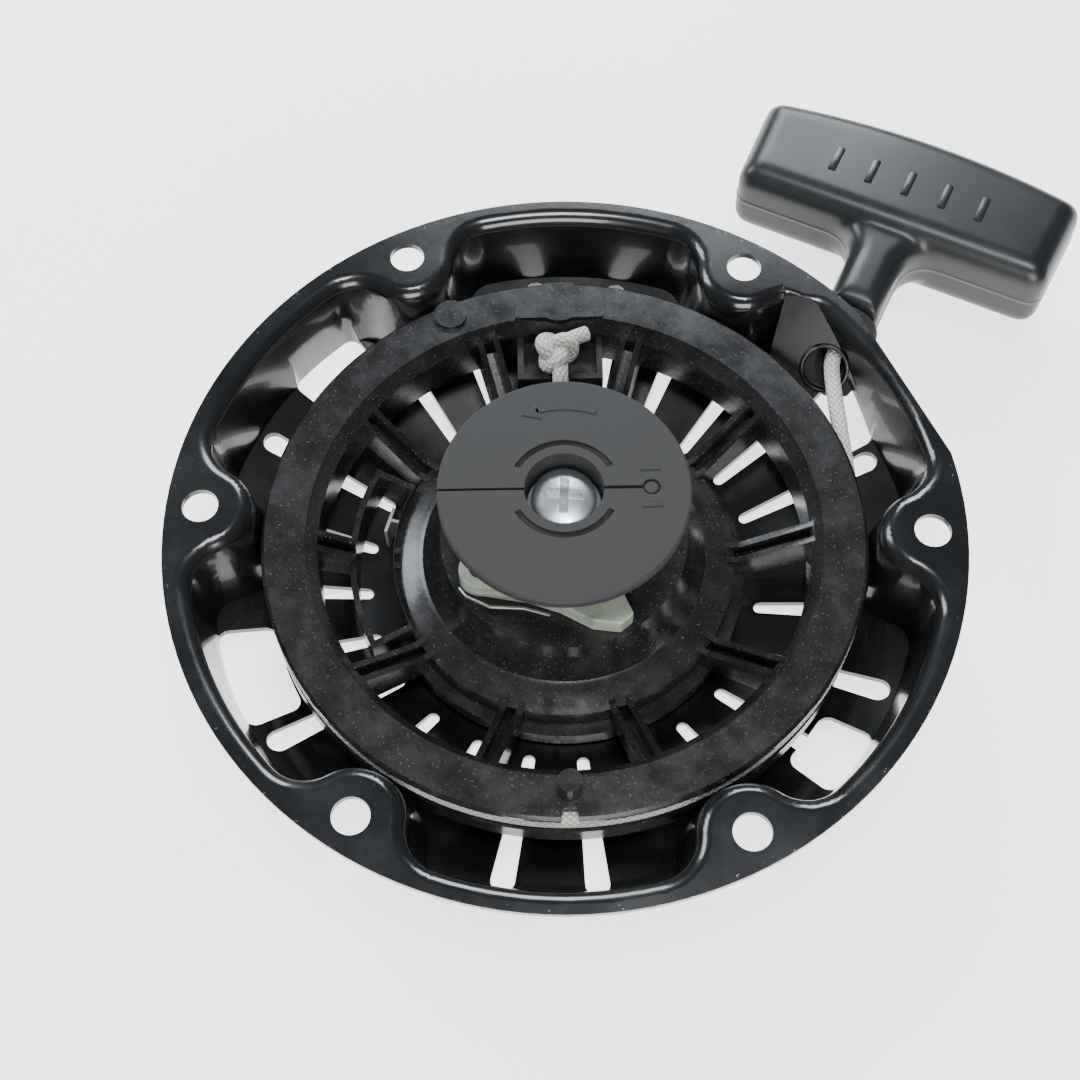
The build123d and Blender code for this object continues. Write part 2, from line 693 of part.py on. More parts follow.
# --- Rope: the turns on the reel --------------------------------------------------------------
with BuildPart() as rope_winding:
    # The inner turn, joined to the outer one where they press together
    with BuildSketch(Plane.XZ):
        with Locations((rope_inner_turn_r, rope_top_z)):
            Circle(rope_r)
    revolve(axis=Axis.Z)
    # The outer turn, open where the rope leaves for the eyelet
    with BuildSketch(Plane.XZ.rotated((0, 0, lead_angle - outer_turn_arc))):
        with Locations((rope_turn_r, rope_top_z)):
            Circle(rope_r)
        with Locations(((rope_turn_r + rope_inner_turn_r) / 2, rope_top_z)):
            Rectangle(rope_turn_r - rope_inner_turn_r, turn_contact)
    revolve(axis=Axis.Z, revolution_arc=outer_turn_arc)
rope_winding.part.label = "rope_winding"
export_step(rope_winding.part, "parts/rope_winding.step")

# --- Rope: the lead from the reel to the eyelet, then the pull end inside the handle ----------
lead_gap = 0.1
lead_from = polar(rope_turn_r, lead_angle, rope_top_z) + polar(lead_gap, lead_angle + 90)
lead_bend = Vector(*pull_at)
lead_to = lead_bend + pull_dir * rope_split
with BuildPart() as rope_lead:
    with BuildLine() as lead_line:
        FilletPolyline(lead_from, lead_bend, lead_to, radius=lead_bend_r)
    with BuildSketch(Plane(origin=lead_from, z_dir=lead_line.line % 0)):
        Circle(rope_r)
    sweep(path=lead_line.line)
rope_lead.part.label = "rope_lead"
export_step(rope_lead.part, "parts/rope_lead.step")

with BuildPart() as rope_pull:
    with BuildSketch(across_pull.offset(rope_split)):
        Circle(rope_r)
    extrude(amount=knot_seat - rope_split)
rope_pull.part.label = "rope_pull"
export_step(rope_pull.part, "parts/rope_pull.step")

# --- Knots: one in the handle, one in the reel's tray with the rope's tail --------------------
with BuildPart() as rope_knot_handle:
    with Locations(lead_bend + pull_dir * (knot_seat + knot_r)):
        Sphere(knot_r)
rope_knot_handle.part.label = "rope_knot_handle"
export_step(rope_knot_handle.part, "parts/rope_knot_handle.step")

knot_at = polar(knot_mid_r, 90 + reel_phase, knot_z)
tail_route = [
    tail_from,
    tail_turn,
    polar(tail_turn_r - 0.6, 90 + reel_phase, knot_z - 1.0),
    polar(knot_mid_r - knot_r + 1.0, 90 + reel_phase, knot_z),
]
with BuildPart() as rope_knot_reel:
    with Locations(knot_at):
        Sphere(knot_r)
    with Locations(knot_at + polar(knot_r + 1.2, reel_phase + 28)):
        Sphere(rope_r + 0.3)
rope_knot_reel.part.label = "rope_knot_reel"
export_step(rope_knot_reel.part, "parts/rope_knot_reel.step")

with BuildPart() as rope_tail:
    with BuildLine() as tail_line:
        FilletPolyline(*tail_route, radius=[2.4, 2.4])
    with BuildSketch(Plane(origin=tail_route[0], z_dir=tail_line.line % 0)):
        Circle(rope_r)
    sweep(path=tail_line.line)
    with Locations(knot_at):
        Sphere(knot_r, mode=Mode.SUBTRACT)
rope_tail.part.label = "rope_tail"
export_step(rope_tail.part, "parts/rope_tail.step")

# --- Eyelet in the facet and the bumper outside it --------------------------------------------
with BuildPart() as rope_eyelet:
    with BuildSketch(facet_plane.offset(-eyelet_lip_t)):
        Circle(eyelet_lip_r)
        Circle(eyelet_bore_r, mode=Mode.SUBTRACT)
    extrude(amount=eyelet_lip_t)
    fillet(rope_eyelet.edges().filter_by(GeomType.CIRCLE).group_by(Axis(eyelet_at, facet_normal))[0], 0.45)
    add(inner_fill, mode=Mode.INTERSECT)
    with BuildSketch(facet_plane):
        Circle(eyelet_hole_r)
        Circle(eyelet_bore_r, mode=Mode.SUBTRACT)
    extrude(amount=sheet + 0.05)
rope_eyelet.part.label = "rope_eyelet"
export_step(rope_eyelet.part, "parts/rope_eyelet.step")

with BuildPart() as rope_bumper:
    with BuildSketch(across_pull.offset(-4.0)):
        Circle(bumper_r)
    extrude(amount=bumper_end + 4.0, taper=2.5)
    fillet(rope_bumper.edges().group_by(Axis(pull_at, pull_dir))[-1], 1.2)
    with BuildSketch(across_pull.offset(-20)):
        Circle(eyelet_bore_r - 1.4)
    extrude(amount=60, mode=Mode.SUBTRACT)
    add(outer_fill, mode=Mode.SUBTRACT)
    with BuildSketch(Plane.XY.offset(-sheet - 0.05)):
        Circle(2 * flange_r)
    extrude(amount=20, mode=Mode.SUBTRACT)
    with BuildSketch(facet_plane):
        Circle(eyelet_hole_r + 0.1)
    extrude(amount=sheet + 0.3, mode=Mode.SUBTRACT)
rope_bumper.part.label = "rope_bumper"
export_step(rope_bumper.part, "parts/rope_bumper.step")

# --- Handle: T grip with a hollow for the knot, and the washer the knot pulls on ---------------
with BuildPart() as grip_stem:
    throat_x = stem_half + grip_throat_r
    throat_y = grip_near - grip_throat_r
    with BuildSketch(pull_plane):
        with BuildLine():
            CenterArc((-throat_x, throat_y), grip_throat_r, 0, 90)
            CenterArc((throat_x, throat_y), grip_throat_r, 90, 90)
            Line((-stem_half, throat_y), (-stem_half, stem_start))
            Line((-stem_half, stem_start), (stem_half, stem_start))
            Line((stem_half, stem_start), (stem_half, throat_y))
            Line((-throat_x, grip_near), (-throat_x, grip_near + stem_root))
            Line((-throat_x, grip_near + stem_root), (throat_x, grip_near + stem_root))
            Line((throat_x, grip_near + stem_root), (throat_x, grip_near))
        make_face()
    extrude(amount=stem_t / 2, both=True)
    stem_rims = grip_stem.edges().group_by(Axis.Z)
    round_rims = (stem_rims[0] + stem_rims[-1]).filter_by(lambda rim: pull_plane.to_local_coords(rim.center()).Y < grip_near - stem_edge)
    fillet(round_rims, stem_round_r)

with BuildPart() as handle_grip:
    with BuildSketch(pull_plane) as grip_shape:
        with BuildLine():
            left_near = (-grip_half + 1.5, grip_near)
            left_far = (-grip_half, grip_near + grip_depth)
            right_far = (grip_half, grip_near + grip_depth)
            right_near = (grip_half - 1.5, grip_near)
            Line(left_near, left_far)
            ThreePointArc(left_far, (0, grip_near + grip_depth + grip_crown), right_far)
            Line(right_far, right_near)
            Line(right_near, left_near)
        make_face()
        fillet(grip_shape.vertices(), grip_corner_r)
    extrude(amount=grip_t / 2, both=True)
    rims = handle_grip.edges().group_by(Axis.Z)
    fillet(rims[0] + rims[-1], grip_round_r)
    add(grip_stem.part)
    # Bore for the rope and the recess for its knot
    with BuildSketch(across_pull.offset(stem_start - 5)):
        Circle(rope_r + 0.5)
    extrude(amount=100, mode=Mode.SUBTRACT)
    with BuildSketch(across_pull.offset(knot_seat - handle_washer_t)):
        Circle(knot_recess_r)
    extrude(amount=40, mode=Mode.SUBTRACT)
handle_grip.part.label = "handle_grip"
export_step(handle_grip.part, "parts/handle_grip.step")

with BuildPart() as handle_washer:
    with BuildSketch(across_pull.offset(knot_seat - handle_washer_t)):
        Circle(knot_recess_r - 0.3)
        Circle(rope_r + 0.3, mode=Mode.SUBTRACT)
    extrude(amount=handle_washer_t)
    chamfer(handle_washer.edges().filter_by(GeomType.CIRCLE), 0.2)
handle_washer.part.label = "handle_washer"
export_step(handle_washer.part, "parts/handle_washer.step")
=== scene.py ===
"""Looks of a recoil starter for a small engine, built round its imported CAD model.

Every piece is in metres in the CAD frame: the origin is where the reel's axis meets the flange's
mounting face, +Z points towards the engine, and the rope leaves towards +X +Y.
"""

import logging
import math
from dataclasses import dataclass
from enum import Enum

import bpy
from mathutils import Matrix, Vector


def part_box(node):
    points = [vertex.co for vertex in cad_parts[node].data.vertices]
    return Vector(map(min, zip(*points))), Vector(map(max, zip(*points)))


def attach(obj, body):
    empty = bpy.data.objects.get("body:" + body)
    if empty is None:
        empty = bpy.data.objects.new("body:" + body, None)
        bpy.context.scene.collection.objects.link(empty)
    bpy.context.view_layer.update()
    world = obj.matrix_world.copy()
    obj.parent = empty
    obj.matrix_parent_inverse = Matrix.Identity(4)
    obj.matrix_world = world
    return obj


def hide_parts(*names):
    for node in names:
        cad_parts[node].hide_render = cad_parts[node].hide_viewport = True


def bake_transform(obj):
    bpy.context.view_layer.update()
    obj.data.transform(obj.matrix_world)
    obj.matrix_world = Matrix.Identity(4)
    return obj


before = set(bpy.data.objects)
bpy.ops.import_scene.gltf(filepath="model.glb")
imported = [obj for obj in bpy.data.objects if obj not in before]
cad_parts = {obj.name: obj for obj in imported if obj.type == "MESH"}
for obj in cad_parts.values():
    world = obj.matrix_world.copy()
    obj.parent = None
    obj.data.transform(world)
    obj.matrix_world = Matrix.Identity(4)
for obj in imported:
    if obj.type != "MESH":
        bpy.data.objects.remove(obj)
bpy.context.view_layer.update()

log = logging.getLogger("recoil_starter")
MM = 0.001
UP = Vector((0.0, 0.0, 1.0))
Triple = tuple[float, float, float]
Colour = Triple
PULL_HEIGHT = -12.0  # height in millimetres of the line along which the handle is pulled


class Body(Enum):
    """Moving bodies of the starter."""

    HOUSING = "housing"
    REEL = "reel"
    GUIDE = "guide"
    PAWL_A = "pawl_a_body"
    PAWL_B = "pawl_b_body"
    HANDLE = "handle"


class Slot(Enum):
    """Material slots of the record."""

    HOUSING = "housing_paint"
    REEL = "reel_nylon"
    GUIDE = "guide_nylon"
    ZINC = "zinc_steel"
    SPRING = "spring_steel"
    PAWL = "pawl_nylon"
    ROPE = "rope_braid"
    RUBBER = "bumper_rubber"
    GRIP = "grip_plastic"


class Braid(Enum):
    """How a rope's braid finds its way along the rope."""

    ALONG = "the tube's own distance and turn, kept in an attribute"
    PULL_LINE = "distance along the straight pull line"


# --- Modelling helpers ---------------------------------------------------------------------------


def mm(*values: float) -> Vector:
    """A point given in millimetres, in metres."""
    return Vector(values) * MM


def polar(radius: float, azimuth: float, z: float = 0.0) -> Vector:
    """A point in metres from a radius and height in millimetres and an azimuth in degrees."""
    angle = math.radians(azimuth)
    return mm(radius * math.cos(angle), radius * math.sin(angle), z)


def select_only(piece: bpy.types.Object) -> None:
    """Selects one object and makes it active, in object mode."""
    if bpy.context.object and bpy.context.object.mode != "OBJECT":
        bpy.ops.object.mode_set(mode="OBJECT")
    bpy.ops.object.select_all(action="DESELECT")
    piece.select_set(True)
    bpy.context.view_layer.objects.active = piece


def settle(piece: bpy.types.Object) -> bpy.types.Object:
    """Moves the object's place into its mesh, so that it sits at the origin."""
    select_only(piece)
    bpy.ops.object.transform_apply(location=True, rotation=True, scale=True)
    return piece


def apply_modifier(piece: bpy.types.Object, kind: str, **settings: object) -> None:
    """Adds a modifier with these settings and applies it.

    Args:
        piece: the mesh object to change.
        kind: the modifier's type, such as "BEVEL".
        settings: values for the modifier's own fields.
    """
    select_only(piece)
    modifier = piece.modifiers.new(kind.lower(), kind)
    for name, value in settings.items():
        setattr(modifier, name, value)
    bpy.ops.object.modifier_apply(modifier=modifier.name)


def smooth(piece: bpy.types.Object, angle: float = 35.0) -> bpy.types.Object:
    """Shades the piece smooth, with sharper edges kept.

    Args:
        piece: the mesh object to shade.
        angle: edges sharper than this many degrees stay sharp.

    Returns:
        The same piece.
    """
    select_only(piece)
    bpy.ops.object.shade_smooth_by_angle(angle=math.radians(angle))
    return piece


def round_edges(piece: bpy.types.Object, width: float, angle: float = 30.0, segments: int = 2) -> None:
    """Rounds the sharp edges of a mesh.

    Args:
        piece: the mesh object to change.
        width: width of the rounding in millimetres.
        angle: edges sharper than this many degrees are rounded.
        segments: how many faces go across the rounding.
    """
    apply_modifier(
        piece, "BEVEL", width=width * MM, segments=segments, limit_method="ANGLE",
        angle_limit=math.radians(angle), use_clamp_overlap=True, miter_outer="MITER_ARC",
    )


def merged_copy(node: str, name: str) -> bpy.types.Object:
    """A copy of a CAD node whose loose triangles are merged into one skin with flat faces.

    Args:
        node: the CAD node to copy.
        name: the new piece's name.

    Returns:
        The new object, with no parent, at the origin.
    """
    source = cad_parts[node]
    piece = source.copy()
    piece.data = source.data.copy()
    piece.name = name
    piece.data.name = name
    piece.parent = None
    piece.matrix_world = Matrix.Identity(4)
    for key in list(piece.keys()):
        del piece[key]
    piece.data.materials.clear()
    bpy.context.scene.collection.objects.link(piece)
    select_only(piece)
    bpy.ops.mesh.customdata_custom_splitnormals_clear()
    bpy.ops.object.mode_set(mode="EDIT")
    bpy.ops.mesh.select_all(action="SELECT")
    bpy.ops.mesh.remove_doubles(threshold=1e-6)
    bpy.ops.mesh.dissolve_limited(angle_limit=math.radians(0.6))
    bpy.ops.object.mode_set(mode="OBJECT")
    return piece


def dress(piece: bpy.types.Object, finish: "Finish", body: Body, *nodes: str) -> bpy.types.Object:
    """Gives a finished piece its material, its body and the CAD nodes it stands for.

    Args:
        piece: the finished mesh.
        finish: the finish it wears.
        body: the body it moves with.
        nodes: CAD nodes that it replaces.

    Returns:
        The same piece.
    """
    piece.data.materials.clear()
    piece.data.materials.append(finish.material())
    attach(piece, body.value)
    if nodes:
        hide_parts(*nodes)
    log.info("%s: %d faces on %s", piece.name, len(piece.data.polygons), body.value)
    return piece


def machined(
    node: str, name: str, finish: "Finish", body: Body, edge: float, angle: float = 30.0,
) -> bpy.types.Object:
    """A CAD node with its edges rounded and its curved walls shaded smooth.

    Args:
        node: the CAD node that the piece replaces.
        name: the new piece's name.
        finish: the finish it wears.
        body: the body it moves with.
        edge: width of the rounding in millimetres.
        angle: edges sharper than this many degrees are rounded.

    Returns:
        The finished piece.
    """
    piece = merged_copy(node, name)
    if edge > 0:
        round_edges(piece, edge, angle)
    smooth(piece, 40.0)
    apply_modifier(piece, "WEIGHTED_NORMAL", keep_sharp=True, weight=80)
    return dress(piece, finish, body, node)


def slab(size: Vector, place: Vector, turn: float, edge: float) -> bpy.types.Object:
    """A small raised bar with rounded edges.

    Args:
        size: length, width and height in metres.
        place: its centre.
        turn: its turn about +Z in degrees.
        edge: width of its rounded edges in millimetres.

    Returns:
        The bar, settled at the origin.
    """
    bpy.ops.mesh.primitive_cube_add(size=1.0, location=place, rotation=(0, 0, math.radians(turn)))
    bar = bpy.context.object
    bar.scale = size
    settle(bar)
    round_edges(bar, edge)
    return bar


def joined(name: str, parts: list[bpy.types.Object]) -> bpy.types.Object:
    """Several small meshes joined into one piece.

    Args:
        name: the joined piece's name.
        parts: the meshes to join.

    Returns:
        The joined piece, shaded smooth.
    """
    select_only(parts[0])
    for part in parts[1:]:
        part.select_set(True)
    bpy.ops.object.join()
    parts[0].name = name
    parts[0].data.name = name
    return smooth(parts[0])


def tube(
    name: str, points: list[Vector], radius: float, closed: bool = False, sides: int = 20,
) -> bpy.types.Object:
    """A round rope along a smooth curve, with its distance and turn kept in the attribute "braid".

    Args:
        name: the new piece's name.
        points: control points of the curve, in metres.
        radius: the rope's radius in millimetres.
        closed: whether the rope runs back into itself.
        sides: how many faces go round it.

    Returns:
        The rope's mesh object.
    """
    line = bpy.data.curves.new(name, "CURVE")
    line.dimensions = "3D"
    line.bevel_depth = radius * MM
    line.bevel_resolution = sides // 2 - 2
    line.use_fill_caps = not closed
    spline = line.splines.new("NURBS")
    spline.points.add(len(points) - 1)
    for point, place in zip(spline.points, points):
        point.co = (*place, 1.0)
    spline.use_cyclic_u = closed
    spline.use_endpoint_u = not closed
    spline.order_u = 3
    spline.resolution_u = 6
    piece = bpy.data.objects.new(name, line)
    bpy.context.scene.collection.objects.link(piece)
    select_only(piece)
    bpy.ops.object.convert(target="MESH")
    piece = bpy.context.object
    mesh = piece.data
    ring = 2 * (sides // 2)
    store = mesh.attributes.new("braid", "FLOAT_VECTOR", "POINT")
    along = 0.0
    before = None
    for start in range(0, len(mesh.vertices) - ring + 1, ring):
        places = [mesh.vertices[start + k].co for k in range(ring)]
        middle = sum(places, Vector()) / ring
        along += (middle - before).length if before is not None else 0.0
        before = middle
        for k in range(ring):
            angle = 2 * math.pi * k / ring
            store.data[start + k].vector = (along, math.cos(angle), math.sin(angle))
    return smooth(piece, 60.0)


# --- Finishes --------------------------------------------------------------------------------------


class Sheet:
    """A material's node tree, with short calls for the nodes that the finishes use."""

    def __init__(self, name: str) -> None:
        """Starts a material with a Principled shader on its output."""
        self.made = bpy.data.materials.new(name)
        self.made.use_nodes = True
        self.tree = self.made.node_tree
        self.tree.nodes.clear()
        self.shader = self.tree.nodes.new("ShaderNodeBsdfPrincipled")
        output = self.tree.nodes.new("ShaderNodeOutputMaterial")
        self.tree.links.new(self.shader.outputs["BSDF"], output.inputs["Surface"])
        self.place = self.tree.nodes.new("ShaderNodeTexCoord").outputs["Object"]

    def put(self, socket: bpy.types.NodeSocket, value: object) -> None:
        """Links a socket to an input, or sets the input's own value."""
        if isinstance(value, bpy.types.NodeSocket):
            self.tree.links.new(value, socket)
        elif isinstance(value, tuple) and len(value) == 3 and socket.type == "RGBA":
            socket.default_value = (*value, 1.0)
        else:
            socket.default_value = value

    def set(self, **inputs: object) -> None:
        """Sets or links the shader's inputs, named with underscores for spaces."""
        for name, value in inputs.items():
            self.put(self.shader.inputs[name.replace("_", " ")], value)

    def stretched(
        self, scale: Triple, turn: Triple = (0.0, 0.0, 0.0), start: Triple = (0.0, 0.0, 0.0),
    ) -> object:
        """Object coordinates moved to a start, turned and scaled by axis.

        Args:
            scale: how many times finer the pattern gets along each axis.
            turn: the frame's turn about each axis in radians.
            start: the frame's own origin in metres.

        Returns:
            The socket with the coordinates.
        """
        node = self.tree.nodes.new("ShaderNodeMapping")
        node.vector_type = "TEXTURE"
        node.inputs["Location"].default_value = start
        node.inputs["Rotation"].default_value = turn
        node.inputs["Scale"].default_value = tuple(1.0 / s for s in scale)
        self.tree.links.new(self.place, node.inputs["Vector"])
        return node.outputs["Vector"]

    def noise(
        self, scale: float, detail: float = 3.0, rough: float = 0.5, where: object = None,
    ) -> object:
        """Noise from 0 to 1.

        Args:
            scale: how fine it is, per metre.
            detail: how many finer layers it has.
            rough: how strong those layers are.
            where: the coordinates it follows, or None for the object's own.

        Returns:
            The socket with the noise.
        """
        node = self.tree.nodes.new("ShaderNodeTexNoise")
        node.inputs["Scale"].default_value = scale
        node.inputs["Detail"].default_value = detail
        node.inputs["Roughness"].default_value = rough
        self.tree.links.new(where or self.place, node.inputs["Vector"])
        return node.outputs["Fac"]

    def span(
        self, value: object, low: float, high: float, to_low: float = 0.0, to_high: float = 1.0,
    ) -> object:
        """A value taken from one range to another and held inside it.

        Args:
            value: the socket or number to take over.
            low: where the first range starts.
            high: where the first range ends.
            to_low: where the second range starts.
            to_high: where the second range ends.

        Returns:
            The socket with the new value.
        """
        node = self.tree.nodes.new("ShaderNodeMapRange")
        given = {
            "Value": value, "From Min": low, "From Max": high, "To Min": to_low, "To Max": to_high,
        }
        for name, number in given.items():
            self.put(node.inputs[name], number)
        return node.outputs["Result"]

    def mix(self, share: object, first: object, second: object) -> object:
        """A colour between two colours.

        Args:
            share: how much of the second colour there is, from 0 to 1.
            first: the colour at 0.
            second: the colour at 1.

        Returns:
            The socket with the mixed colour.
        """
        node = self.tree.nodes.new("ShaderNodeMix")
        node.data_type = "RGBA"
        self.put(node.inputs["Factor"], share)
        self.put(node.inputs[6], first)
        self.put(node.inputs[7], second)
        return node.outputs[2]

    def maths(self, operation: str, first: object, second: object = 0.0) -> object:
        """One step of arithmetic.

        Args:
            operation: the Math node's operation, such as "ADD".
            first: the first socket or number.
            second: the second socket or number.

        Returns:
            The socket with the result.
        """
        node = self.tree.nodes.new("ShaderNodeMath")
        node.operation = operation
        self.put(node.inputs[0], first)
        self.put(node.inputs[1], second)
        return node.outputs[0]

    def parts(self, vector: object) -> tuple[object, object, object]:
        """The three numbers of a vector."""
        node = self.tree.nodes.new("ShaderNodeSeparateXYZ")
        self.tree.links.new(vector, node.inputs[0])
        return node.outputs[0], node.outputs[1], node.outputs[2]

    def normal(self) -> object:
        """The surface's direction in the object's own frame."""
        return self.tree.nodes.new("ShaderNodeTexCoord").outputs["Normal"]

    def bump(self, height: object, depth: float, strength: float = 1.0) -> None:
        """Relief on top of any relief already there.

        Args:
            height: the socket that gives the relief's height, from 0 to 1.
            depth: the relief's depth in millimetres.
            strength: how much of it shows, from 0 to 1.
        """
        node = self.tree.nodes.new("ShaderNodeBump")
        node.inputs["Strength"].default_value = strength
        node.inputs["Distance"].default_value = depth * MM
        self.tree.links.new(height, node.inputs["Height"])
        earlier = self.shader.inputs["Normal"]
        if earlier.is_linked:
            self.tree.links.new(earlier.links[0].from_socket, node.inputs["Normal"])
        self.tree.links.new(node.outputs["Normal"], earlier)


@dataclass(frozen=True)
class Finish:
    """A finish that makes its material once and hands it out again."""

    name: str
    slot: Slot

    def material(self) -> bpy.types.Material:
        """The finish's material, made on first use."""
        found = bpy.data.materials.get(self.name)
        if found is None:
            sheet = Sheet(self.name)
            self.lay(sheet)
            found = sheet.made
        return found

    def lay(self, sheet: Sheet) -> None:
        """Builds the nodes on an empty sheet."""
        raise NotImplementedError


@dataclass(frozen=True)
class GlossPaint(Finish):
    """Black gloss paint on pressed steel, with dust, soft haze and chips on the rim's edge."""

    dark: Colour = (0.0035, 0.004, 0.0045)
    light: Colour = (0.009, 0.010, 0.0115)
    dust: Colour = (0.20, 0.21, 0.22)
    chip: Colour = (0.62, 0.64, 0.66)
    chip_from: float = -0.7
    chip_radius: float = 96.9

    def lay(self, sheet: Sheet) -> None:
        """Paint with orange peel, haze patches, specks of dust and edge chips."""
        haze = sheet.noise(26.0, 5.0, 0.6)
        specks = sheet.span(sheet.noise(1500.0, 2.0, 0.6), 0.70, 0.76)
        patches = sheet.span(sheet.noise(46.0, 4.0, 0.6), 0.46, 0.72)
        dust = sheet.maths("MULTIPLY", specks, sheet.span(patches, 0.0, 1.0, 0.15, 0.7))
        x, y, z = sheet.parts(sheet.place)
        squares = sheet.maths("ADD", sheet.maths("MULTIPLY", x, x), sheet.maths("MULTIPLY", y, y))
        radius = sheet.maths("SQRT", squares)
        rim = sheet.maths(
            "MULTIPLY", sheet.span(radius, self.chip_radius * MM, (self.chip_radius + 0.5) * MM),
            sheet.span(z, self.chip_from * MM, (self.chip_from + 0.5) * MM),
        )
        chips = sheet.maths("MULTIPLY", rim, sheet.span(sheet.noise(620.0, 5.0, 0.75), 0.635, 0.655))
        paint = sheet.mix(haze, self.dark, self.light)
        paint = sheet.mix(dust, paint, self.dust)
        paint = sheet.mix(chips, paint, self.chip)
        rough = sheet.maths(
            "ADD", sheet.span(haze, 0.3, 0.7, 0.17, 0.30), sheet.maths("MULTIPLY", patches, 0.10),
        )
        sheet.set(
            Base_Color=paint, Roughness=rough, Metallic=chips, Coat_Weight=0.55, Coat_Roughness=0.07,
            Specular_IOR_Level=0.55,
        )
        sheet.bump(sheet.noise(420.0, 2.0, 0.4), 0.03, 0.5)
        sheet.bump(sheet.noise(60.0, 2.0, 0.4), 0.10, 0.25)


@dataclass(frozen=True)
class FilledNylon(Finish):
    """Black glass-filled nylon: satin and mottled, with a pale painted sheen on its upward faces, where the
    overhead lights fall.
    """

    dark: Colour = (0.006, 0.006, 0.0063)
    light: Colour = (0.020, 0.020, 0.021)
    painted_sheen: Colour = (0.075, 0.075, 0.075)
    painted_sheen_share: float = 0.17
    smooth_rough: float = 0.17
    matt_rough: float = 0.33

    def lay(self, sheet: Sheet) -> None:
        """Mottle, painted sheen on upward faces, fibre streaks and fine grain."""
        mottle = sheet.noise(120.0, 6.0, 0.65)
        cloud = sheet.noise(34.0, 5.0, 0.6)
        fibres = sheet.noise(900.0, 3.0, 0.6, sheet.stretched((1.0, 0.25, 1.0), (0.0, 0.0, 0.6)))
        # Faces looking up towards the lights get a pale painted sheen, broken up by clouds and fibre streaks.
        facing = sheet.span(sheet.parts(sheet.normal())[2], 0.80, 0.98)
        painted_sheen_mask = sheet.maths("MULTIPLY", facing, sheet.span(cloud, 0.42, 0.72, 0.05, self.painted_sheen_share))
        painted_sheen_mask = sheet.maths("MULTIPLY", painted_sheen_mask, sheet.span(fibres, 0.25, 0.75, 0.6, 1.2))
        specks = sheet.span(sheet.noise(1700.0, 2.0, 0.6), 0.66, 0.72, 0.0, 0.5)
        body = sheet.mix(sheet.span(mottle, 0.3, 0.7), self.dark, self.light)
        body = sheet.mix(painted_sheen_mask, body, self.painted_sheen)
        body = sheet.mix(specks, body, (0.26, 0.26, 0.25))
        rough = sheet.span(mottle, 0.3, 0.7, self.smooth_rough, self.matt_rough)
        sheet.set(Base_Color=body, Roughness=rough, Specular_IOR_Level=0.5)
        sheet.bump(fibres, 0.04, 0.8)
        sheet.bump(mottle, 0.08, 0.5)


@dataclass(frozen=True)
class GripPlastic(Finish):
    """Slate grey moulded plastic with a soft sheen, fine grain and a few scuffs."""

    dark: Colour = (0.009, 0.0105, 0.0115)
    light: Colour = (0.017, 0.0195, 0.021)
    parting_z: float = PULL_HEIGHT

    def lay(self, sheet: Sheet) -> None:
        """Soft clouds, grain, pale scuffs and the paler line where the mould parts."""
        cloud = sheet.noise(30.0, 4.0, 0.55)
        grain = sheet.noise(1400.0, 2.0, 0.5)
        scuffs = sheet.noise(160.0, 6.0, 0.7, sheet.stretched((1.0, 0.2, 1.0), (0.0, 0.0, 0.9)))
        marks = sheet.span(scuffs, 0.66, 0.74, 0.0, 0.22)
        colour = sheet.mix(cloud, self.dark, self.light)
        colour = sheet.mix(marks, colour, (0.14, 0.145, 0.15))
        height = sheet.parts(sheet.place)[2]
        away = sheet.maths("ABSOLUTE", sheet.maths("SUBTRACT", height, self.parting_z * MM))
        colour = sheet.mix(sheet.span(away, 0.15 * MM, 0.35 * MM, 0.6, 0.0), colour, (0.20, 0.21, 0.22))
        sheet.set(
            Base_Color=colour, Roughness=sheet.span(cloud, 0.3, 0.7, 0.30, 0.40), Specular_IOR_Level=0.5,
        )
        sheet.bump(grain, 0.015, 0.6)


@dataclass(frozen=True)
class BrightZinc(Finish):
    """Bright zinc plate with a faint blue tint, fine turning marks and a few stains."""

    clean: Colour = (0.72, 0.79, 0.86)
    dull: Colour = (0.46, 0.49, 0.50)
    rough: float = 0.26
    rough_spread: float = 0.16

    def lay(self, sheet: Sheet) -> None:
        """Plate with patchy passivation and fine scratches."""
        patch = sheet.noise(260.0, 5.0, 0.65)
        scratch = sheet.noise(2600.0, 2.0, 0.6, sheet.stretched((1.0, 0.12, 1.0), (0.0, 0.0, 0.5)))
        colour = sheet.mix(sheet.span(patch, 0.35, 0.65), self.clean, self.dull)
        rough = sheet.span(patch, 0.3, 0.7, self.rough, self.rough + self.rough_spread)
        sheet.set(Base_Color=colour, Metallic=1.0, Roughness=rough)
        sheet.bump(scratch, 0.012, 0.5)
        sheet.bump(patch, 0.04, 0.5)


@dataclass(frozen=True)
class PaleNylon(Finish):
    """Natural nylon, pale with a green cast and a little grease."""

    clean: Colour = (0.44, 0.49, 0.41)
    greasy: Colour = (0.22, 0.24, 0.20)

    def lay(self, sheet: Sheet) -> None:
        """Clouded nylon with greasy patches."""
        cloud = sheet.noise(170.0, 5.0, 0.6)
        colour = sheet.mix(sheet.span(cloud, 0.45, 0.75), self.clean, self.greasy)
        rough = sheet.span(cloud, 0.3, 0.7, 0.42, 0.28)
        sheet.set(Base_Color=colour, Roughness=rough, Subsurface_Weight=0.12)
        sheet.bump(sheet.noise(900.0, 2.0, 0.5), 0.02, 0.5)


@dataclass(frozen=True)
class Rubber(Finish):
    """Black rubber, matt and slightly dusty."""

    def lay(self, sheet: Sheet) -> None:
        """Matt rubber with dust in its grain."""
        cloud = sheet.noise(140.0, 5.0, 0.6)
        colour = sheet.mix(sheet.span(cloud, 0.35, 0.75), (0.008, 0.008, 0.009), (0.028, 0.028, 0.029))
        sheet.set(Base_Color=colour, Roughness=sheet.span(cloud, 0.3, 0.7, 0.55, 0.72))
        sheet.bump(sheet.noise(1300.0, 2.0, 0.5), 0.03, 0.6)


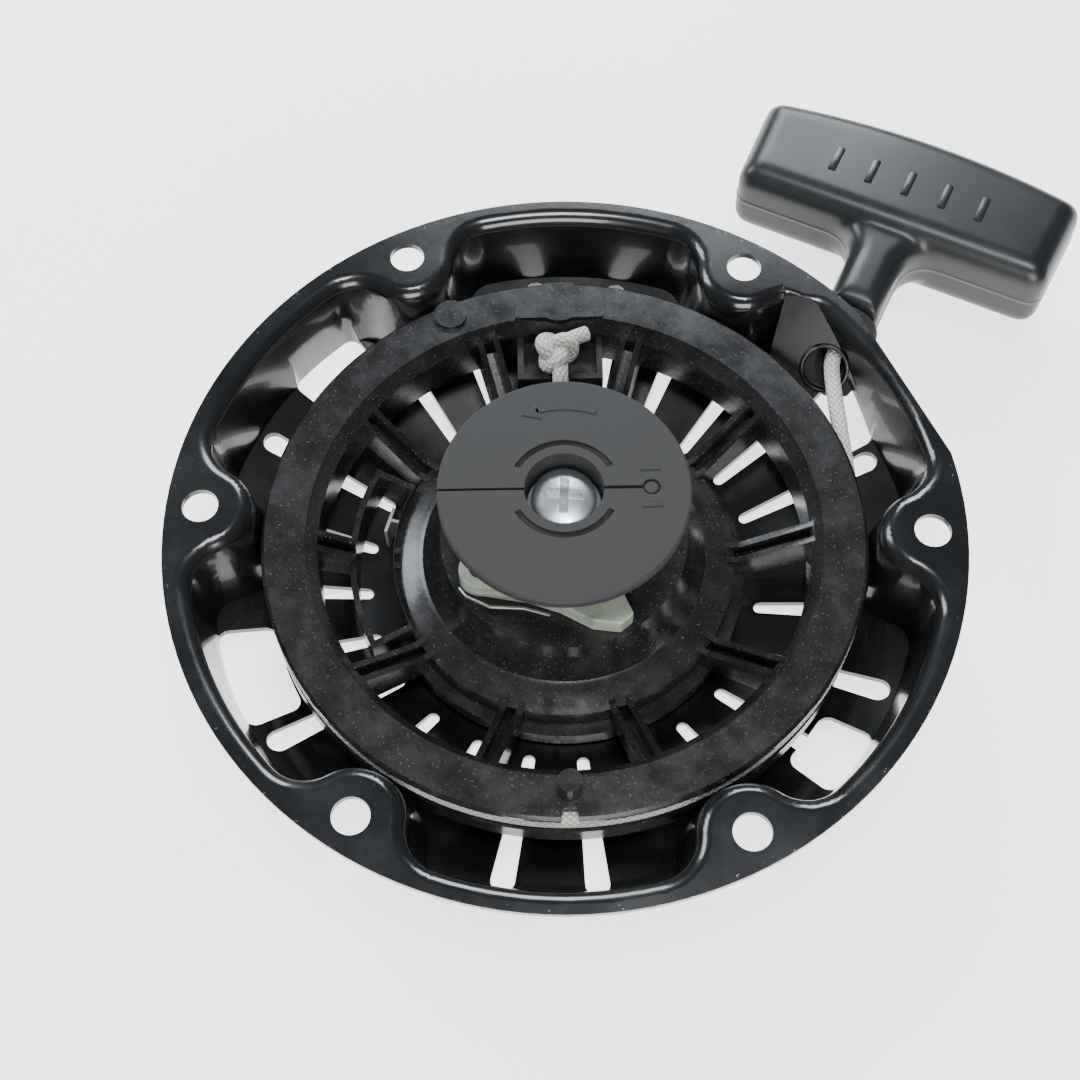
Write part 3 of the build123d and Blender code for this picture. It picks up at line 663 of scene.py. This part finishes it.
@dataclass(frozen=True)
class BraidedCord(Finish):
    """Cream braided cord: strands that cross over and under, with fine fibres along each."""

    braid: Braid = Braid.ALONG
    pitch: float = 1.9
    strands: float = 8.0
    clean: Colour = (0.84, 0.83, 0.77)
    shade: Colour = (0.50, 0.47, 0.40)
    soiled: Colour = (0.66, 0.61, 0.47)
    start: Triple = (0.0, 0.0, 0.0)
    turn: float = 0.0

    def lay(self, sheet: Sheet) -> None:
        """Crossing strands by distance along the rope and turn round it."""
        if self.braid is Braid.ALONG:
            node = sheet.tree.nodes.new("ShaderNodeAttribute")
            node.attribute_name = "braid"
            along, cosine, sine = sheet.parts(node.outputs["Vector"])
        else:
            line = sheet.stretched((1.0, 1.0, 1.0), (0.0, 0.0, math.radians(self.turn)), self.start)
            along, cosine, sine = sheet.parts(line)
        round_it = sheet.maths("MULTIPLY", sheet.maths("ARCTAN2", sine, cosine), self.strands / (2 * math.pi))
        steps = sheet.maths("DIVIDE", along, self.pitch * MM)
        first = sheet.maths("ADD", steps, round_it)
        second = sheet.maths("SUBTRACT", steps, round_it)
        hills = [
            sheet.maths("ABSOLUTE", sheet.maths("SINE", sheet.maths("MULTIPLY", strand, math.pi)))
            for strand in (first, second)
        ]
        weave = sheet.maths("POWER", sheet.maths("MULTIPLY", *hills), 0.5)
        fibres = sheet.maths("SINE", sheet.maths("MULTIPLY", first, 8 * math.pi))
        stain = sheet.noise(90.0, 4.0, 0.6)
        # The hollows between the strands get painted shade, taken from the shade colour.
        colour = sheet.mix(sheet.span(weave, 0.1, 0.8), self.shade, self.clean)
        colour = sheet.mix(sheet.span(stain, 0.45, 0.75, 0.0, 0.55), colour, self.soiled)
        sheet.set(Base_Color=colour, Roughness=sheet.span(weave, 0.0, 1.0, 0.9, 0.66), Sheen_Weight=0.25)
        sheet.bump(fibres, 0.05, 0.5)
        sheet.bump(weave, 0.35, 0.9)


@dataclass(frozen=True)
class PaleFloor(Finish):
    """A plain pale studio floor."""

    def lay(self, sheet: Sheet) -> None:
        """Near-white paper with hardly any mottle."""
        colour = sheet.mix(sheet.noise(9.0, 3.0), (0.93, 0.93, 0.935), (0.97, 0.97, 0.97))
        sheet.set(
            Base_Color=colour, Roughness=0.9, Specular_IOR_Level=0.1, Emission_Color=(1.0, 1.0, 1.0),
            Emission_Strength=2.0,
        )


PAINT = GlossPaint("black_gloss_paint", Slot.HOUSING)
REEL_NYLON = FilledNylon("reel_filled_nylon", Slot.REEL)
# The guide wears the same nylon with a dimmer painted sheen on its upward faces.
GUIDE_NYLON = FilledNylon(
    "guide_nylon", Slot.GUIDE, dark=(0.006, 0.006, 0.0058), light=(0.013, 0.013, 0.0127),
    painted_sheen=(0.032, 0.032, 0.031),
    painted_sheen_share=0.16, smooth_rough=0.32, matt_rough=0.46,
)
ZINC = BrightZinc("bright_zinc", Slot.ZINC)
DARK_STEEL = BrightZinc(
    "blackened_steel", Slot.ZINC, clean=(0.060, 0.064, 0.070), dull=(0.022, 0.023, 0.025), rough=0.2,
)
SPRING_STEEL = BrightZinc(
    "spring_steel", Slot.SPRING, clean=(0.15, 0.15, 0.15), dull=(0.06, 0.06, 0.058), rough=0.3,
)
NYLON = PaleNylon("pale_nylon", Slot.PAWL)
RUBBER = Rubber("bumper_rubber", Slot.RUBBER)
CORD = BraidedCord("braided_cord", Slot.ROPE)
GRIP = GripPlastic("slate_grip_plastic", Slot.GRIP)


# --- Sub-assemblies --------------------------------------------------------------------------------


@dataclass
class Housing:
    """The pressed housing with its post, eyelet, bumper, spring and centre screw."""

    edge: float = 0.3

    def build(self) -> None:
        """Makes every piece that stays with the housing."""
        machined("housing_shell", "Housing_pressing", PAINT, Body.HOUSING, self.edge)
        machined("centre_post", "Centre_post", ZINC, Body.HOUSING, 0.2)
        machined("rope_eyelet", "Rope_eyelet", DARK_STEEL, Body.HOUSING, 0.0)
        machined("rope_bumper", "Rope_bumper", RUBBER, Body.HOUSING, 0.3)
        machined("return_spring", "Return_spring", SPRING_STEEL, Body.HOUSING, 0.0)
        machined("friction_spring", "Friction_spring", SPRING_STEEL, Body.HOUSING, 0.0)
        machined("thrust_washer", "Thrust_washer", ZINC, Body.HOUSING, 0.0)
        machined("screw_washer", "Screw_washer", ZINC, Body.HOUSING, 0.0)
        machined("centre_screw", "Centre_screw", ZINC, Body.HOUSING, 0.3)


@dataclass
class Reel:
    """The rope reel with its two pawl springs."""

    edge: float = 0.28

    def build(self) -> None:
        """Makes the reel moulding and the wire springs on it."""
        machined("reel", "Rope_reel", REEL_NYLON, Body.REEL, self.edge)
        for side in ("a", "b"):
            machined(f"pawl_spring_{side}", f"Pawl_spring_{side}", SPRING_STEEL, Body.REEL, 0.0)


@dataclass
class Pawls:
    """The two pawls, each on its own body."""

    edge: float = 0.3

    def build(self) -> None:
        """Makes both pawls."""
        machined("pawl_a", "Pawl_a", NYLON, Body.PAWL_A, self.edge)
        machined("pawl_b", "Pawl_b", NYLON, Body.PAWL_B, self.edge)


@dataclass
class Guide:
    """The ratchet guide with its small pin and plain raised marks."""

    phase: float = 3.3
    mark_height: float = 0.35
    sunk: float = 0.1
    arrow_radius: float = 22.5
    arrow_width: float = 1.4
    arrow_from: float = 72.0
    arrow_to: float = 110.0
    arrow_steps: int = 10
    head_radius: float = 3.0
    bar_offset: float = 5.0
    bar_radius: float = 20.8

    def build(self) -> None:
        """Makes the disc, its pin and the marks."""
        machined("ratchet_guide", "Ratchet_guide", GUIDE_NYLON, Body.GUIDE, 0.25)
        machined("guide_pin", "Guide_pin", GUIDE_NYLON, Body.GUIDE, 0.0)
        self.marks()

    def marks(self) -> bpy.types.Object:
        """A raised arc with a solid arrow head, and two bars beside the pin."""
        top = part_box("ratchet_guide")[1].z / MM
        middle = top + self.mark_height / 2 - self.sunk
        pitch = (self.arrow_to - self.arrow_from) / self.arrow_steps
        length = math.radians(pitch) * (self.arrow_radius + self.arrow_width)
        size = mm(length, self.arrow_width, self.mark_height)
        parts = []
        for k in range(self.arrow_steps):
            azimuth = self.arrow_from + pitch * (k + 0.5)
            parts.append(slab(size, polar(self.arrow_radius, azimuth, middle), azimuth + 90, 0.08))
        parts.append(self.arrow_head(middle))
        for offset in (-self.bar_offset, self.bar_offset):
            place = polar(self.bar_radius, self.phase, middle) + polar(offset, self.phase + 90)
            parts.append(slab(mm(5.0, 1.0, self.mark_height), place, self.phase, 0.1))
        return dress(joined("Guide_marks", parts), GUIDE_NYLON, Body.GUIDE)

    def arrow_head(self, height: float) -> bpy.types.Object:
        """The arrow's three-sided head, pointing along the turn, at that height in millimetres."""
        bpy.ops.mesh.primitive_cylinder_add(
            vertices=3, radius=self.head_radius * MM, depth=self.mark_height * MM,
            location=polar(self.arrow_radius, self.arrow_to + 2.0, height),
            rotation=(0, 0, math.radians(self.arrow_to)),
        )
        head = settle(bpy.context.object)
        round_edges(head, 0.08)
        return head


@dataclass
class Rope:
    """The braided rope: turns on the reel, lead, pull end and both knots."""

    radius: float = 2.1
    turns: tuple[tuple[float, float], ...] = ((68.9, -10.3), (73.4, -10.4))
    turn_points: int = 60
    lead_azimuth: float = 2.5
    pull_at: Triple = (68.5, 56.3, PULL_HEIGHT)
    pull_angle: float = 67.0
    split: float = 6.0
    knot_seat: float = 58.8
    knot_lobe: float = 1.16
    knot_height: float = 1.75
    reel_knot_lobe: float = 1.5
    reel_knot_height: float = 2.1
    knot_azimuth: float = 93.3
    tail_turn: float = 45.5

    def build(self) -> None:
        """Makes every length of the rope and its knots."""
        self.winding()
        self.lead()
        self.pull_end()
        self.reel_knot()
        self.handle_knot()

    def pull_point(self, distance: float, across: float = 0.0, z: float = 0.0) -> Vector:
        """A point in metres on the pull line, that many millimetres along, across and above it."""
        angle = math.radians(self.pull_angle)
        along = Vector((math.cos(angle), math.sin(angle), 0.0))
        side = Vector((math.sin(angle), -math.cos(angle), 0.0))
        return mm(*self.pull_at) + (along * distance + side * across + UP * z) * MM

    def winding(self) -> None:
        """The turns in the reel's groove, as full rings that press on each other."""
        rings = []
        for index, (radius, z) in enumerate(self.turns):
            step = 360.0 / self.turn_points
            points = [polar(radius, step * k, z) for k in range(self.turn_points)]
            rings.append(tube(f"turn_{index}", points, self.radius, closed=True, sides=16))
        dress(joined("Rope_winding", rings), CORD, Body.REEL, "rope_winding")

    def lead(self) -> None:
        """The free length from the reel to inside the bumper."""
        radius, height = self.turns[-1]
        start = polar(radius, self.lead_azimuth, height)
        points = [
            polar(radius, self.lead_azimuth - 5.0, height), start, start.lerp(mm(*self.pull_at), 0.5),
            start.lerp(mm(*self.pull_at), 0.93), self.pull_point(2.5), self.pull_point(self.split),
        ]
        dress(tube("Rope_lead", points, self.radius), CORD, Body.HOUSING, "rope_lead")

    def pull_end(self) -> None:
        """The straight length to the handle."""
        finish = BraidedCord(
            "braided_cord_pull", Slot.ROPE, braid=Braid.PULL_LINE, start=tuple(mm(*self.pull_at)),
            turn=self.pull_angle,
        )
        stations = 60
        reach = self.knot_seat - self.split
        points = [self.pull_point(self.split + reach * k / stations) for k in range(stations + 1)]
        piece = tube("Rope_pull", points, self.radius)
        piece.data.materials.append(finish.material())
        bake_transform(piece)
        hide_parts("rope_pull")
        log.info("%s bends from housing to handle", piece.name)

    def knot(
        self, name: str, centre: Vector, right: Vector, up: Vector, lobe: float, height: float,
    ) -> bpy.types.Object:
        """An overhand knot pulled tight.

        Args:
            name: the new piece's name.
            centre: the knot's middle.
            right: a unit direction in the knot's plane.
            up: the unit direction that the knot faces.
            lobe: size of its three lobes in millimetres.
            height: how far its strands pass over each other in millimetres.

        Returns:
            The knot's mesh.
        """
        ahead = up.cross(right)
        points = []
        count = 36
        for k in range(count):
            t = 2 * math.pi * k / count
            across = math.sin(t) + 2 * math.sin(2 * t)
            along = math.cos(t) - 2 * math.cos(2 * t)
            lift = -math.sin(3 * t) * height
            points.append(centre + (right * across * lobe + ahead * along * lobe + up * lift) * MM)
        return tube(name, points, self.radius, closed=True, sides=16)

    def stub(self, name: str, points: list[Vector]) -> bpy.types.Object:
        """A short end of rope along those points."""
        return tube(name, points, self.radius, sides=16)

    def reel_knot(self) -> None:
        """The knot in the reel's tray, its cut end, and the tail that comes up to it."""
        azimuth = self.knot_azimuth
        centre = polar(54.0, azimuth, -8.0) + mm(-1.2, 0.6, 0.2)
        right = Vector((0.94, -0.30, 0.15)).normalized()
        facing = Vector((0.05, -0.35, 0.94)).normalized()
        knot = self.knot("Knot_reel", centre, right, facing, self.reel_knot_lobe, self.reel_knot_height)
        cut = self.stub("cut_end", [
            centre + mm(1.5, 1.0, 2.2), centre + mm(4.6, 2.8, 2.4), centre + mm(8.0, 4.8, 1.6),
        ])
        dress(joined("Knot_reel", [knot, cut]), CORD, Body.REEL, "rope_knot_reel")
        tail = self.stub("Rope_tail", [
            polar(65.3, azimuth, -15.0), polar(55.0, azimuth, -16.8), polar(47.0, azimuth, -17.9),
            polar(self.tail_turn, azimuth, -15.0), polar(self.tail_turn, azimuth, -10.5),
            polar(47.5, azimuth, -8.2), polar(50.5, azimuth, -8.0),
        ])
        dress(tail, CORD, Body.REEL, "rope_tail")

    def handle_knot(self) -> None:
        """The knot in the handle's recess."""
        centre = self.pull_point(self.knot_seat + 5.6)
        along = (self.pull_point(1.0) - self.pull_point(0.0)).normalized()
        knot = self.knot("Knot_handle", centre, UP.copy(), along, self.knot_lobe, self.knot_height)
        cut = self.stub("cut_end_handle", [
            self.pull_point(self.knot_seat + 4.0), self.pull_point(self.knot_seat + 8.0, 1.0, 1.0),
            self.pull_point(self.knot_seat + 11.0, 2.0, 1.6),
        ])
        dress(joined("Knot_handle", [knot, cut]), CORD, Body.HANDLE, "rope_knot_handle")


@dataclass
class Handle:
    """The T grip, its washer and its plain raised ribs."""

    rope: Rope
    voxel: float = 0.75
    rounds: int = 14
    parting_z: float = PULL_HEIGHT
    rib_count: int = 5
    rib_pitch: float = 10.5

    def build(self) -> None:
        """Makes the grip, the washer under the knot and the ribs."""
        self.grip()
        self.ribs()
        machined("handle_washer", "Handle_washer", ZINC, Body.HANDLE, 0.0)

    def grip(self) -> None:
        """The grip with its stem flowing softly into the bar, and the mould's parting ridge."""
        piece = merged_copy("handle_grip", "Handle_grip")
        apply_modifier(piece, "REMESH", mode="VOXEL", voxel_size=self.voxel * MM)
        apply_modifier(piece, "SMOOTH", factor=0.5, iterations=self.rounds)
        select_only(piece)
        bpy.ops.object.mode_set(mode="EDIT")
        for offset in (-0.3, 0.0, 0.3):
            bpy.ops.mesh.select_all(action="SELECT")
            bpy.ops.mesh.bisect(plane_co=(0, 0, (self.parting_z + offset) * MM), plane_no=(0, 0, 1))
        bpy.ops.mesh.select_all(action="DESELECT")
        bpy.ops.object.mode_set(mode="OBJECT")
        for vertex in piece.data.vertices:
            vertex.select = abs(vertex.co.z - self.parting_z * MM) < 1e-5
        bpy.ops.object.mode_set(mode="EDIT")
        bpy.ops.transform.shrink_fatten(value=0.22 * MM)
        bpy.ops.object.mode_set(mode="OBJECT")
        smooth(piece, 60.0)
        dress(piece, GRIP, Body.HANDLE, "handle_grip")

    def ribs(self) -> None:
        """A row of short raised ribs on the grip's upper face."""
        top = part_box("handle_grip")[1].z / MM - PULL_HEIGHT
        parts = []
        for k in range(self.rib_count):
            across = (k - (self.rib_count - 1) / 2) * self.rib_pitch
            place = self.rope.pull_point(56.0, across, top - 0.05)
            parts.append(slab(mm(8.5, 2.2, 0.9), place, self.rope.pull_angle, 0.35))
        dress(joined("Grip_ribs", parts), GRIP, Body.HANDLE)


@dataclass
class Studio:
    """The camera, the soft lights and the pale floor."""

    lens: float = 55.57
    sensor: float = 36.0
    place: Triple = (6.95, -196.2, 358.9)
    right: Triple = (0.99894, 0.04460, -0.01141)
    up: Triple = (-0.03406, 0.88288, 0.46820)
    back: Triple = (0.03096, -0.46737, 0.88350)

    def build(self) -> None:
        """Sets up everything round the starter."""
        self.camera()
        self.floor()
        self.lamp("Key_softbox", (0.05, -0.10, 0.80), 0.22, 3.6, (0.94, 0.97, 1.0))
        self.lamp("Window_softbox", (0.05, 0.62, 0.36), 0.32, 4.6, (0.88, 0.94, 1.0))
        self.lamp("Side_softbox", (-0.55, 0.30, 0.42), 0.30, 3.4, (0.90, 0.95, 1.0))
        self.lamp("Fill_softbox", (0.10, -0.65, 0.34), 0.40, 5.0, (1.0, 0.98, 0.95))
        self.sky()

    def camera(self) -> None:
        """A still camera with no depth of field."""
        data = bpy.data.cameras.new("Camera")
        data.lens = self.lens
        data.sensor_width = self.sensor
        data.clip_start = 0.01
        camera = bpy.data.objects.new("Camera", data)
        bpy.context.scene.collection.objects.link(camera)
        axes = Matrix((self.right, self.up, self.back)).transposed().to_4x4()
        camera.matrix_world = Matrix.Translation(mm(*self.place)) @ axes
        bpy.context.scene.camera = camera

    def floor(self) -> None:
        """A wide flat floor under the housing's flat face."""
        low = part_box("housing_shell")[0].z
        bpy.ops.object.select_all(action="DESELECT")
        bpy.ops.mesh.primitive_plane_add(size=8.0, location=(0, 0, low - 0.0002))
        floor = settle(bpy.context.object)
        floor.name = "Studio_floor"
        floor.data.materials.append(PaleFloor("pale_floor", Slot.HOUSING).material())

    def lamp(self, name: str, place: Triple, size: float, power: float, colour: Colour) -> None:
        """A square soft light aimed at the starter."""
        data = bpy.data.lights.new(name, "AREA")
        data.size = size
        data.energy = power
        data.color = colour
        lamp = bpy.data.objects.new(name, data)
        bpy.context.scene.collection.objects.link(lamp)
        lamp.location = place
        lamp.rotation_mode = "QUATERNION"
        lamp.rotation_quaternion = (Vector(place) - mm(10, 10, -10)).to_track_quat("Z", "Y")

    def sky(self) -> None:
        """Even pale light from all round."""
        world = bpy.data.worlds.new("Studio")
        world.use_nodes = True
        background = world.node_tree.nodes["Background"]
        background.inputs["Color"].default_value = (0.80, 0.86, 0.92, 1.0)
        background.inputs["Strength"].default_value = 0.17
        bpy.context.scene.world = world


def main() -> None:
    """Builds the starter's sub-assemblies and its studio, in order."""
    logging.basicConfig(level=logging.INFO, format="%(name)s: %(message)s")
    Studio().build()
    Housing().build()
    Reel().build()
    Pawls().build()
    Guide().build()
    rope = Rope()
    rope.build()
    Handle(rope).build()


if __name__ == "__main__":
    main()
